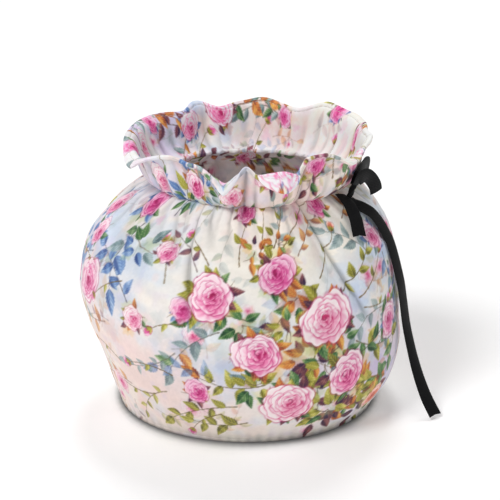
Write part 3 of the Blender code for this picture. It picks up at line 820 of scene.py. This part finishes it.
def paint_spray(art, spray):
    tone = LEAF_TONES[spray.tone]
    x, y = art.mm(spray.angle), spray.up
    colour = STEM * 0.6 + tone.deep * 0.4
    places = paint_stem(
        art, x, y, spray.turn, spray.long, spray.bend, 0.34, colour, 0.85 * spray.strength
    )
    for i in range(spray.leaves):
        at = places[min(len(places) - 1, int((i + 1.0) / spray.leaves * (len(places) - 1)))]
        side = 1 if i % 2 else -1
        last = i == spray.leaves - 1
        away = 0.0 if last else side * art.draw(40, 70)
        size = spray.leaf * art.draw(0.75, 1.1) * (1.1 if last else 1.0)
        turn = degrees(at[2]) + away
        hue = tone
        if art.chance.rand() < 0.25:
            hue = LEAF_TONES[art.one_of(("olive", "green", "rust", "grey"))]
        paint_leaf(art, at[0], at[1], turn, size, hue, spray.strength)


def petal(art, x, y, heading, long, wide, tone, light, strength, phase):
    """One cupped petal, whose base is towards the heart and whose rim curls out and catches light."""
    found = art.window(x, y, max(long, wide) * 1.3)
    if found is None:
        return
    where, gx, gy = found
    out, side = turned(gx, gy, heading)
    out, side = out / long, side / wide
    around = np.arctan2(side, out)
    frill = 1 + 0.07 * np.sin(3 * around + phase) + 0.035 * np.sin(7 * around + 2 * phase)
    dent = 1 - 0.14 * np.exp(-(((around - 0.3 * sin(phase)) / 0.24) ** 2))
    far = np.hypot(out, side) / (frill * dent)
    soft = 0.30 / max(long, wide)
    crevice = smooth(1.22, 0.98, far) * smooth(-0.7, 0.3, out) * (1 - smooth(1 + soft, 1 - soft, far))
    art.lay(where, (0.62 - 0.35 * light) * strength * crevice, tone.deep)
    inside = smooth(1 + soft, 1 - soft, far)
    streaks = 0.10 * np.sin(around * 8 + phase * 3 + 2 * out) * smooth(-0.3, 0.5, out)
    glow = 0.44 + 0.62 * out + streaks + light
    colour = mixed(tone.deep, tone.middle, smooth(-0.32, 0.36, glow))
    colour = mixed(colour, tone.pale, smooth(0.34, 0.95, glow))
    rim = smooth(0.82, 0.95, far) * smooth(-0.05, 0.55, out) * (0.62 + 0.55 * light)
    colour = mixed(colour, PETAL_RIM, 0.85 * np.clip(rim, 0, 1))
    art.lay(where, strength * inside, colour)


def paint_rose(art, rose):
    """Petals that overlap from the widest to the heart, each a turn of 137 degrees past the last."""
    tone = ROSE_TONES[rose.tone]
    radius = rose.wide / 2
    turn = radians(rose.turn)
    start = art.draw(0, ROUND)
    count = 13 + int(radius * 0.55)
    for k in range(count):
        t = k / (count - 1)
        heading = start + NEXT_TURN * k + art.draw(-0.25, 0.25)
        ring = (0.58 * (1 - t) ** 0.85 + 0.02) * art.draw(0.9, 1.12)
        x, y = cos(heading) * radius * ring, sin(heading) * radius * ring
        # the flower is seen a little from the side, so it is flatter along its turn
        across = (x * cos(turn) + y * sin(turn)) * (1 - rose.side)
        shift = 0.16 * radius * t * (1.5 - rose.side)
        x -= cos(turn) * (across + shift)
        y -= sin(turn) * (across + shift)
        light = 0.36 * cos(heading - LIGHT_FROM) + 0.22 - 0.60 * t + 0.10 * art.draw(-1, 1)
        size = radius * (0.15 + 0.36 * (1 - t) ** 1.1) * art.draw(0.88, 1.12)
        petal(
            art, art.mm(rose.angle) + x, rose.up + y, heading, size * 0.88, size * 1.2, tone, light,
            rose.strength, start + 1.7 * k,
        )
    x, y = art.mm(rose.angle) - cos(turn) * shift, rose.up - sin(turn) * shift
    found = art.window(x, y, radius * 0.3)
    if found is not None:
        where, gx, gy = found
        far, swirl = np.hypot(gx, gy) / (radius * 0.16), np.arctan2(gy, gx)
        line = smooth(0.3, 0.95, np.sin(swirl + 5.5 * far + start)) * smooth(1.15, 0.7, far)
        art.lay(where, 0.7 * rose.strength * line, tone.deep * 0.75)


def paint_blotch(art, x, y, reach, colour, strength):
    """A soft ragged spot of thinned paint."""
    found = art.window(x, y, reach * 1.5)
    if found is None:
        return
    where, gx, gy = found
    around = np.arctan2(gy, gx)
    phase = art.draw(0, ROUND)
    ragged = 1 + 0.22 * np.sin(3 * around + phase) + 0.12 * np.sin(8 * around + 3 * phase)
    ragged = ragged + 0.10 * np.sin(gx * 1.9 + phase) * np.sin(gy * 2.3 + phase)
    far = np.hypot(gx, gy) / (reach * ragged)
    art.lay(where, strength * (0.55 * smooth(1.05, 0.80, far) + 0.45 * smooth(1.0, 0.1, far)), colour)


def paint_foliage(art, x, y, reach, count, leaf, mix, strength):
    """A mass of leaves that grow out from a place, over soft blotches of their colours."""
    tones = LEAF_MIXES[mix]
    for _ in range(3):
        tone = LEAF_TONES[art.one_of(tones)]
        bx, by = x + art.draw(-1, 1) * reach, y + art.draw(-1, 1) * reach
        paint_blotch(art, bx, by, reach * art.draw(0.35, 0.7), tone.pale, 0.42 * strength)
    for _ in range(2):
        heading, bend = art.draw(0, 360), art.draw(-0.9, 0.9)
        paint_stem(art, x, y, heading, reach * 1.3, bend, 0.30, STEM, 0.6 * strength)
    spin = art.draw(0, ROUND)
    for k in range(count):
        heading = spin + NEXT_TURN * k + art.draw(-0.3, 0.3)
        away = reach * art.draw(0.45, 1.0) * (1 - 0.4 * k / count)
        tone = LEAF_TONES[art.one_of(tones)]
        turn = degrees(heading) + art.draw(-40, 40)
        lx, ly = x + away * cos(heading), y + away * sin(heading)
        paint_leaf(art, lx, ly, turn, leaf * art.draw(0.7, 1.15), tone, strength)


def paint_bud(art, bud):
    tone = ROSE_TONES[bud.tone]
    x, y = art.mm(bud.angle), bud.up
    places = paint_stem(art, x, y, bud.turn, bud.long, bud.bend, 0.32, BUD_STEM, bud.strength)
    tip_x, tip_y, heading = places[-1]
    low = places[len(places) // 2]
    green = LEAF_TONES["olive"]
    paint_leaf(art, low[0], low[1], degrees(low[2]) + 48, bud.wide * 1.3, green, bud.strength)
    reach = bud.wide * 0.62
    base_x, base_y = tip_x + cos(heading) * reach, tip_y + sin(heading) * reach
    for off in (-0.5, 0.5, 0.0):
        px = base_x + cos(heading + 1.57) * off * bud.wide * 0.45
        py = base_y + sin(heading + 1.57) * off * bud.wide * 0.45
        petal(
            art, px, py, heading + off * 0.5, bud.wide * 0.66, bud.wide * (0.36 if off else 0.30),
            tone, 0.10 - 0.5 * (off == 0), bud.strength, off * 3,
        )
    for off in (-38, 0, 38):
        turn = degrees(heading) + off
        paint_leaf(art, tip_x, tip_y, turn, bud.wide * 0.85, green, bud.strength)


def paint_faint_growth(art):
    """Pale far-off leaves and blooms that fill the ground between the strong ones."""
    for _ in range(150):
        angle = art.draw(MAP_LEFT, MAP_RIGHT)
        up = art.draw(4, MAP_TOP - 8)
        tone = art.one_of(("grey", "blue", "wine", "rust", "olive"))
        strength = art.draw(0.12, 0.32)
        turn = art.draw(0, 360)
        paint_spray(art, Spray(angle, up, turn, 24, 0.4, 5, art.draw(6, 9), tone, strength))
    for _ in range(46):
        angle = art.draw(MAP_LEFT, MAP_RIGHT)
        up = art.draw(4, MAP_TOP - 8)
        wide = art.draw(8, 15)
        strength = art.draw(0.22, 0.45)
        paint_rose(art, Rose(angle, up, wide, art.draw(0, 360), 0.7, "blush", strength, ""))


def paint_haze(art):
    """Thin smears of the ground's colours, deeper than the ground, as in a wet painting."""
    for wash in WASHES:
        for _ in range(9):
            x = art.mm(wash.angle) + art.draw(-0.9, 0.9) * wash.wide
            y = wash.up + art.draw(-0.8, 0.8) * wash.high
            deep = wash.colour ** 2.6
            paint_blotch(art, x, y, art.draw(3, 9), deep, art.draw(0.10, 0.26))
    for rose in ROSES:
        for _ in range(4):
            x = art.mm(rose.angle) + art.draw(-1.3, 1.3) * rose.wide
            y = rose.up + art.draw(-1.1, 1.1) * rose.wide
            tone = ROSE_TONES[rose.tone] if art.chance.rand() < 0.5 else LEAF_TONES["grey"]
            colour = tone.middle * 0.4 + tone.pale * 0.6
            paint_blotch(art, x, y, art.draw(2.5, 7), colour, art.draw(0.10, 0.30))


def paint_growth(art, rose):
    """Two sprays and a bud that grow out from a rose on the back."""
    tones = ("olive", "blue", "green", "wine", "rust", "grey")
    for _ in range(2):
        angle, up = rose.angle + art.draw(-6, 6), rose.up + art.draw(-9, 9)
        turn, bend = art.draw(0, 360), art.draw(-0.4, 0.4)
        tone = art.one_of(tones)
        paint_spray(art, Spray(angle, up, turn, 37, bend, 6, 11, tone, 0.95))
    angle, turn = rose.angle + art.draw(-8, 8), art.draw(30, 150)
    paint_bud(art, Bud(angle, rose.up, turn, 30, 0.3, 4.5, "rose", 0.95))


def paint_print():
    art = Map()
    paint_ground(art)
    paint_haze(art)
    paint_faint_growth(art)
    for spray in SPRAYS:
        paint_spray(art, spray)
    for bud in BUDS:
        paint_bud(art, bud)
    for rose in ROSES:
        if rose.angle > 90:
            paint_growth(art, rose)
    for clump in CLUMPS:
        paint_foliage(art, art.mm(clump.angle), *clump[1:], 1.0)
    roses = sorted(ROSES, key=lambda rose: rose.strength)
    for rose in roses:
        if rose.leaves:
            x, count = art.mm(rose.angle), int(rose.wide * 0.55)
            leaf, reach = rose.wide * 0.36, rose.wide * 0.46
            paint_foliage(art, x, rose.up, reach, count, leaf, rose.leaves, rose.strength)
    for rose in roses:
        paint_rose(art, rose)
    return art


# Materials


def new_material(name, **settings):
    """(material, its nodes, its shader), with the shader's own sockets set."""
    material = bpy.data.materials.new(name)
    material.use_nodes = True
    nodes = material.node_tree.nodes
    shader = nodes["Principled BSDF"]
    for key, value in settings.items():
        shader.inputs[key.replace("_", " ")].default_value = value
    return material, nodes, shader


def node(nodes, kind, **settings):
    """A new node, with its sockets and its own settings set."""
    made = nodes.new(kind)
    for key, value in settings.items():
        if key.replace("_", " ") in made.inputs:
            made.inputs[key.replace("_", " ")].default_value = value
        else:
            setattr(made, key, value)
    return made


def link(material, *wires):
    """Links, each given as a node, its output, the next node and its input."""
    for start, output, end, socket in wires:
        material.node_tree.links.new(start.outputs[output], end.inputs[socket])


def add_relief(material, nodes, shader, fine, share, coarse, strength, distance):
    """Bump from a share of one texture on top of another."""
    both = node(nodes, "ShaderNodeMath", operation="MULTIPLY_ADD")
    both.inputs[1].default_value = share
    bump = node(nodes, "ShaderNodeBump", Strength=strength, Distance=distance)
    place = nodes.new("ShaderNodeTexCoord")
    link(
        material, (place, "Object", fine, "Vector"), (place, "Object", coarse, "Vector"),
        (fine, "Fac", both, 0), (coarse, "Fac", both, 2), (both, "Value", bump, "Height"),
        (bump, "Normal", shader, "Normal"),
    )


def cloth_material():
    """Printed plain-weave polyester: the painted colour, which is the print with its painted shade and
    light, a fine weave, soft sheen.
    """
    material, nodes, shader = new_material(
        "printed_cloth_weave", Roughness=0.78, Sheen_Weight=0.15, Sheen_Roughness=0.4
    )
    weave = node(nodes, "ShaderNodeTexNoise", Scale=2600.0, Detail=2.0, Roughness=0.6)
    slub = node(nodes, "ShaderNodeTexNoise", Scale=420.0, Detail=3.0, Roughness=0.55)
    add_relief(material, nodes, shader, weave, 0.6, slub, 0.35, 0.0002)
    printed = node(nodes, "ShaderNodeVertexColor", layer_name="print_painted_shade_and_light")
    vary = node(nodes, "ShaderNodeMapRange", To_Min=0.94, To_Max=1.05)
    tint = node(nodes, "ShaderNodeMix", data_type="RGBA", blend_type="MULTIPLY", Factor=1.0)
    link(
        material, (slub, "Fac", vary, "Value"), (printed, "Color", tint, "A"),
        (vary, "Result", tint, "B"), (tint, "Result", shader, "Base Color"),
    )
    return material


def two_tone(material, nodes, shader, grain, dark, pale):
    """A base colour between two, as a grain texture goes."""
    mix = node(nodes, "ShaderNodeMix", data_type="RGBA", A=(*dark, 1), B=(*pale, 1))
    link(material, (grain, "Fac", mix, "Factor"), (mix, "Result", shader, "Base Color"))


def ribbon_material():
    """Black woven tape: fine cross ribs, and a slight satin sheen."""
    material, nodes, shader = new_material(
        "black_ribbon_weave", Roughness=0.60, Specular_IOR_Level=0.14, Sheen_Weight=0.02
    )
    ribs = node(nodes, "ShaderNodeTexWave", Scale=320.0, Distortion=1.2, Detail=2.0, bands_direction="Z")
    grain = node(nodes, "ShaderNodeTexNoise", Scale=900.0, Detail=3.0)
    add_relief(material, nodes, shader, grain, 0.7, ribs, 0.5, 0.00012)
    two_tone(material, nodes, shader, grain, (0.0012, 0.0012, 0.0014), (0.0052, 0.0052, 0.006))
    return material


def thread_material():
    """Cream sewing thread."""
    material, nodes, shader = new_material("sewing_thread", Roughness=0.7)
    grain = node(nodes, "ShaderNodeTexNoise", Scale=2400.0, Detail=2.0)
    two_tone(material, nodes, shader, grain, (0.62, 0.56, 0.50), (0.86, 0.82, 0.76))
    return material


def floor_material():
    material, nodes, shader = new_material("pale_floor", Roughness=0.9, Emission_Strength=0.15)
    # The floor's tones, with their painted contact shadow, set both its colour and its faint glow.
    ground = node(nodes, "ShaderNodeVertexColor", layer_name="ground")
    link(material, (ground, "Color", shader, "Base Color"), (ground, "Color", shader, "Emission Color"))
    return material


def floor_mesh():
    """A flat floor in rings round the hem, darker close to it: a painted soft contact shadow."""
    angles = np.linspace(0, 360, FLOOR_COLUMNS, endpoint=False)
    hem = body_points(angles, 0.0)[:, :2]
    turn = np.radians(angles)
    out = np.stack([np.sin(turn), -FLOOR_STRETCH * np.cos(turn)], axis=1)
    points = [(0.0, 0.0, 0.0)]
    for away, _ in FLOOR_SHADOW_RINGS:
        points += [(x, y, 0.0) for x, y in hem + out * (CLOTH_THICKNESS / 2 + away)]
    faces = []
    for i in range(FLOOR_COLUMNS):
        a, b = 1 + i, 1 + (i + 1) % FLOOR_COLUMNS
        faces.append((0, a, b))
        for low in range(0, FLOOR_COLUMNS * (len(FLOOR_SHADOW_RINGS) - 1), FLOOR_COLUMNS):
            faces.append((a + low, a + low + FLOOR_COLUMNS, b + low + FLOOR_COLUMNS, b + low))
    mesh = bpy.data.meshes.new("floor")
    mesh.from_pydata(points, [], faces)
    layer = mesh.color_attributes.new("ground", "FLOAT_COLOR", "POINT")
    for i, value in enumerate(layer.data):
        tone = FLOOR_SHADOW_RINGS[max(0, i - 1) // FLOOR_COLUMNS][1]
        value.color = (tone, tone, tone, 1)
    return mesh


# Pieces


def build_panel(name, sides, art, ways, cloth):
    """A panel's inner face and the three parts of its outer one, which meet in its rolled edges."""
    about = cloth, "printed_cloth", name
    middle, thick, angles, distances = panel_grid(*sides, INNER_COLUMNS, 0, ways, inner_rows)
    inner = middle - facing_of(middle) * thick[..., None]
    facing = -facing_of(inner)
    # The inner face takes a weaker painted fold shade, then painted light that makes it lighter.
    colours = art.colours_at(angles, distances) * fold_shade(inner, facing) ** INSIDE_SHADE
    colours = np.minimum(colours * INSIDE_PAINTED_LIGHT, INSIDE_PAINTED_LIGHT_CAP)
    mesh = mesh_from_grid(name + "_inside", inner, True, colours, facing)
    pieces = [add_piece(name + "_inside", mesh, *about)]
    middle, thick, angles, distances = panel_grid(*sides, OUTER_COLUMNS, OUTER_ROWS, ways)
    outer = middle + facing_of(middle) * thick[..., None]
    facing = facing_of(outer)
    # Painted shade on the hem's rolled edge, then painted shade and light in the folds.
    hem_painted_shade = 1.0 - HEM_SHADE * (1.0 - smooth(0.0002, HEM_SHADE_HEIGHT, distances))
    colours = art.colours_at(angles, distances) * fold_shade(outer, facing) * hem_painted_shade[:, None, None]
    neck = int(np.searchsorted(distances, np.interp(1.0, ways[1], ways[0])))
    half = outer.shape[1] // 2
    parts = (
        ("_left", slice(0, neck + 1), slice(0, half + 1)),
        ("_right", slice(0, neck + 1), slice(half, None)),
        ("_frill", slice(neck, None), slice(None)),
    )
    for label, *there in parts:
        there = tuple(there)
        mesh = mesh_from_grid(name + label, outer[there], False, colours[there], facing[there])
        pieces.append(add_piece(name + label, mesh, *about))
    return pieces


def inner_rows(total, roll):
    """Rows for the inner face: sparse inside the body, close together in the frill."""
    frill = total - FINE_INSIDE
    ends = roll * np.array(ROLL_PLACES)
    low = np.linspace(roll, frill, INNER_ROWS_LOW)
    high = np.linspace(frill, total - roll, INNER_ROWS_FRILL)[1:]
    return np.concatenate([ends, low, high, total - ends[::-1]])


def route_through(points):
    """Close places on a smooth curve through the points: angle, reach, height and turn."""
    places = []
    for i in range(len(points) - 1):
        around = [points[max(i - 1, 0)], points[i], points[i + 1], points[min(i + 2, len(points) - 1)]]
        ends = [on_axis(p.reach, p.angle, p.height, 0.0) for p in points[i : i + 2]]
        steps = max(1, round(float(np.linalg.norm(ends[0] - ends[1])) / RIBBON_STEP))
        for k in range(steps + (i == len(points) - 2)):
            t = k / steps
            places.append(
                [hermite(b, c, (c - a) / 2, (d - b) / 2, 1.0, t) for a, b, c, d in zip(*around)]
            )
    return np.array(places)


def build_ribbon(node_name, points, material, notch=0.0):
    """A flat woven strip along a route, thin, slightly cupped, with its end cut."""
    route = route_through(points)
    centres = on_axis(route[:, 1], route[:, 0], route[:, 2], 0.0)
    along = np.gradient(centres, axis=0)
    along /= np.linalg.norm(along, axis=1, keepdims=True)
    turn, tilt = np.radians(route[:, 0] + route[:, 3]), np.radians(route[:, 4])
    level = np.cos(tilt)
    facing = np.stack([np.sin(turn) * level, -np.cos(turn) * level, np.sin(tilt)], axis=1)
    across = np.cross(along, facing)
    across /= np.linalg.norm(across, axis=1, keepdims=True)
    normal = np.cross(across, along)
    shares = np.linspace(-1, 1, RIBBON_ACROSS + 1)
    ring = []
    for side in (1, -1):
        for share in shares[::side]:
            level = RIBBON_THICKNESS / 2 * side * (1.0 if abs(share) < 0.99 else 0.35)
            ring.append((share * RIBBON_WIDTH / 2, level - RIBBON_CUP * share * share))
    rows = []
    for i, centre in enumerate(centres):
        cut = max(0.0, notch - (len(centres) - 1 - i) * RIBBON_STEP / 2)
        rows.append(
            [
                centre + across[i] * share + normal[i] * level
                - along[i] * cut * (1 - abs(share) / (RIBBON_WIDTH / 2))
                for share, level in ring
            ]
        )
    shape = bmesh.new()
    skin(shape, rows)
    bmesh.ops.triangulate(shape, faces=[f for f in shape.faces if len(f.verts) > 4])
    bmesh.ops.recalc_face_normals(shape, faces=shape.faces)
    ribbon = finished(shape, node_name + "_tape", material, "black_ribbon", node_name)
    ribbon.data.set_sharp_from_angle(angle=radians(50))
    return ribbon, centres


def build_knot(material):
    """The bow's knot: tape pulled tight into a narrow twist between the loops and the tails."""
    top, foot = (
        Vector(on_axis(reach, angle, height, 0.0)) for angle, reach, height in (KNOT_TOP, KNOT_FOOT)
    )
    centre, up = (top + foot) / 2, (top - foot).normalized()
    turn = radians(KNOT_TOP[0])
    side = up.cross(Vector((sin(turn), -cos(turn), 0))).normalized()
    out = side.cross(up)
    half = (top - foot).length / 2 + KNOT_PAST
    shape = bmesh.new()
    bmesh.ops.create_uvsphere(shape, u_segments=48, v_segments=40, radius=1.0)
    for vert in shape.verts:
        x, y, z = vert.co
        twisted = atan2(y, x) + KNOT_TWIST * z
        twist = 1.0 + 0.16 * sin(3 * twisted) + 0.04 * sin(11 * twisted)
        wide = KNOT_WIDTH * twist * (1 + 0.35 * z * z)
        vert.co = centre + side * x * wide + out * y * wide + up * (z * half)
    return finished(shape, "ribbon_knot_tied", material, "black_ribbon", "ribbon_knot")


def build_stitches(name, distance, side_of, ways, material):
    """A row of small stitches round the cosy, outside it (1) or inside (-1), at one distance."""
    angles = np.arange(LEFT_SEAM_ANGLE + SEAM_CLEAR, LEFT_SEAM_ANGLE + 360 - SEAM_CLEAR, 0.2)
    line = row_points(angles, distance, ways)
    facing = np.cross(np.gradient(line, axis=0), line - row_points(angles, distance - 0.0008, ways))
    facing *= side_of / np.linalg.norm(facing, axis=1, keepdims=True)
    line = line + facing * (CLOTH_THICKNESS / 2 * STITCH_SUNK)
    run = run_along(line)
    turns = [radians(72 * k) for k in range(5)]
    shape = bmesh.new()
    for start in np.arange(0, run[-1] - STITCH_LENGTH, STITCH_SPACING):
        if abs(np.interp(start, run, angles) - RIGHT_SEAM_ANGLE) < SEAM_CLEAR:
            continue
        at = start + STITCH_LENGTH * np.array([0.0, 0.5, 1.0])
        points = np.stack([np.interp(at, run, line[:, k]) for k in range(3)], axis=1)
        normal = np.array([np.interp(start, run, facing[:, k]) for k in range(3)])
        points[1] += normal * STITCH_ARCH
        tangent = points[2] - points[0]
        side = np.cross(normal, tangent / np.linalg.norm(tangent))
        skin(
            shape,
            [
                [point + size * (side * cos(a) + normal * sin(a)) for a in turns]
                for point, size in zip(points, STITCH_RADII)
            ],
        )
    bmesh.ops.recalc_face_normals(shape, faces=shape.faces)
    return finished(shape, name, material, "printed_cloth")


# The studio


def add_camera():
    camera = bpy.data.objects.new("camera", bpy.data.cameras.new("camera"))
    bpy.context.scene.collection.objects.link(camera)
    rise = radians(CAMERA_ELEVATION)
    back = Vector((0.0, -cos(rise), sin(rise)))
    camera.location = Vector(CAMERA_AIM) + back * CAMERA_DISTANCE
    camera.rotation_euler = (pi / 2 - rise, 0.0, 0.0)
    camera.data.sensor_width = 36.0
    camera.data.lens = CAMERA_LENS
    camera.data.clip_end = 20.0
    bpy.context.scene.camera = camera


def add_light(name, place, spread_angle, strength):
    """A wide far-off lamp in the direction of a place, so that the floor is lit evenly."""
    data = bpy.data.lights.new(name, "SUN")
    data.angle = radians(spread_angle)
    data.energy = strength
    light = bpy.data.objects.new(name, data)
    bpy.context.scene.collection.objects.link(light)
    light.location = place
    light.rotation_euler = Vector(place).to_track_quat("Z", "Y").to_euler()


def add_studio():
    for lamp in LAMPS:
        add_light(*lamp)
    world = bpy.data.worlds.new("studio")
    world.use_nodes = True
    sky = world.node_tree.nodes["Background"]
    sky.inputs["Color"].default_value = (1, 1, 1, 1)
    sky.inputs["Strength"].default_value = SKY_STRENGTH
    bpy.context.scene.world = world
    bpy.context.scene.view_settings.view_transform = "Standard"
    add_piece("floor", floor_mesh(), floor_material())


def main():
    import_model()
    add_camera()
    ways = way_up()
    art = paint_print()
    cloth, tape, thread = cloth_material(), ribbon_material(), thread_material()
    knot = build_knot(tape)
    long_tail, centres = build_ribbon("ribbon_tail_long", TAIL_LONG, tape, RIBBON_NOTCH)
    short_tail, _ = build_ribbon("ribbon_tail_short", TAIL_SHORT, tape, RIBBON_NOTCH)
    high_loop, _ = build_ribbon("ribbon_loop_high", LOOP_HIGH, tape)
    low_loop, _ = build_ribbon("ribbon_loop_low", LOOP_LOW, tape)
    sides = LEFT_SEAM_ANGLE, SPOUT_SLIT, RIGHT_SEAM_ANGLE, HANDLE_SLIT
    front = build_panel("front_panel", sides, art, ways, cloth)
    sides = RIGHT_SEAM_ANGLE, HANDLE_SLIT, LEFT_SEAM_ANGLE + 360, SPOUT_SLIT
    back = build_panel("back_panel", sides, art, ways, cloth)
    rim = ways[0][-1] - RIM_BAND
    rim_stitches = [
        build_stitches("rim_stitches_outer", rim, 1, ways, thread),
        build_stitches("rim_stitches_inner", rim, -1, ways, thread),
    ]
    add_studio()


main()
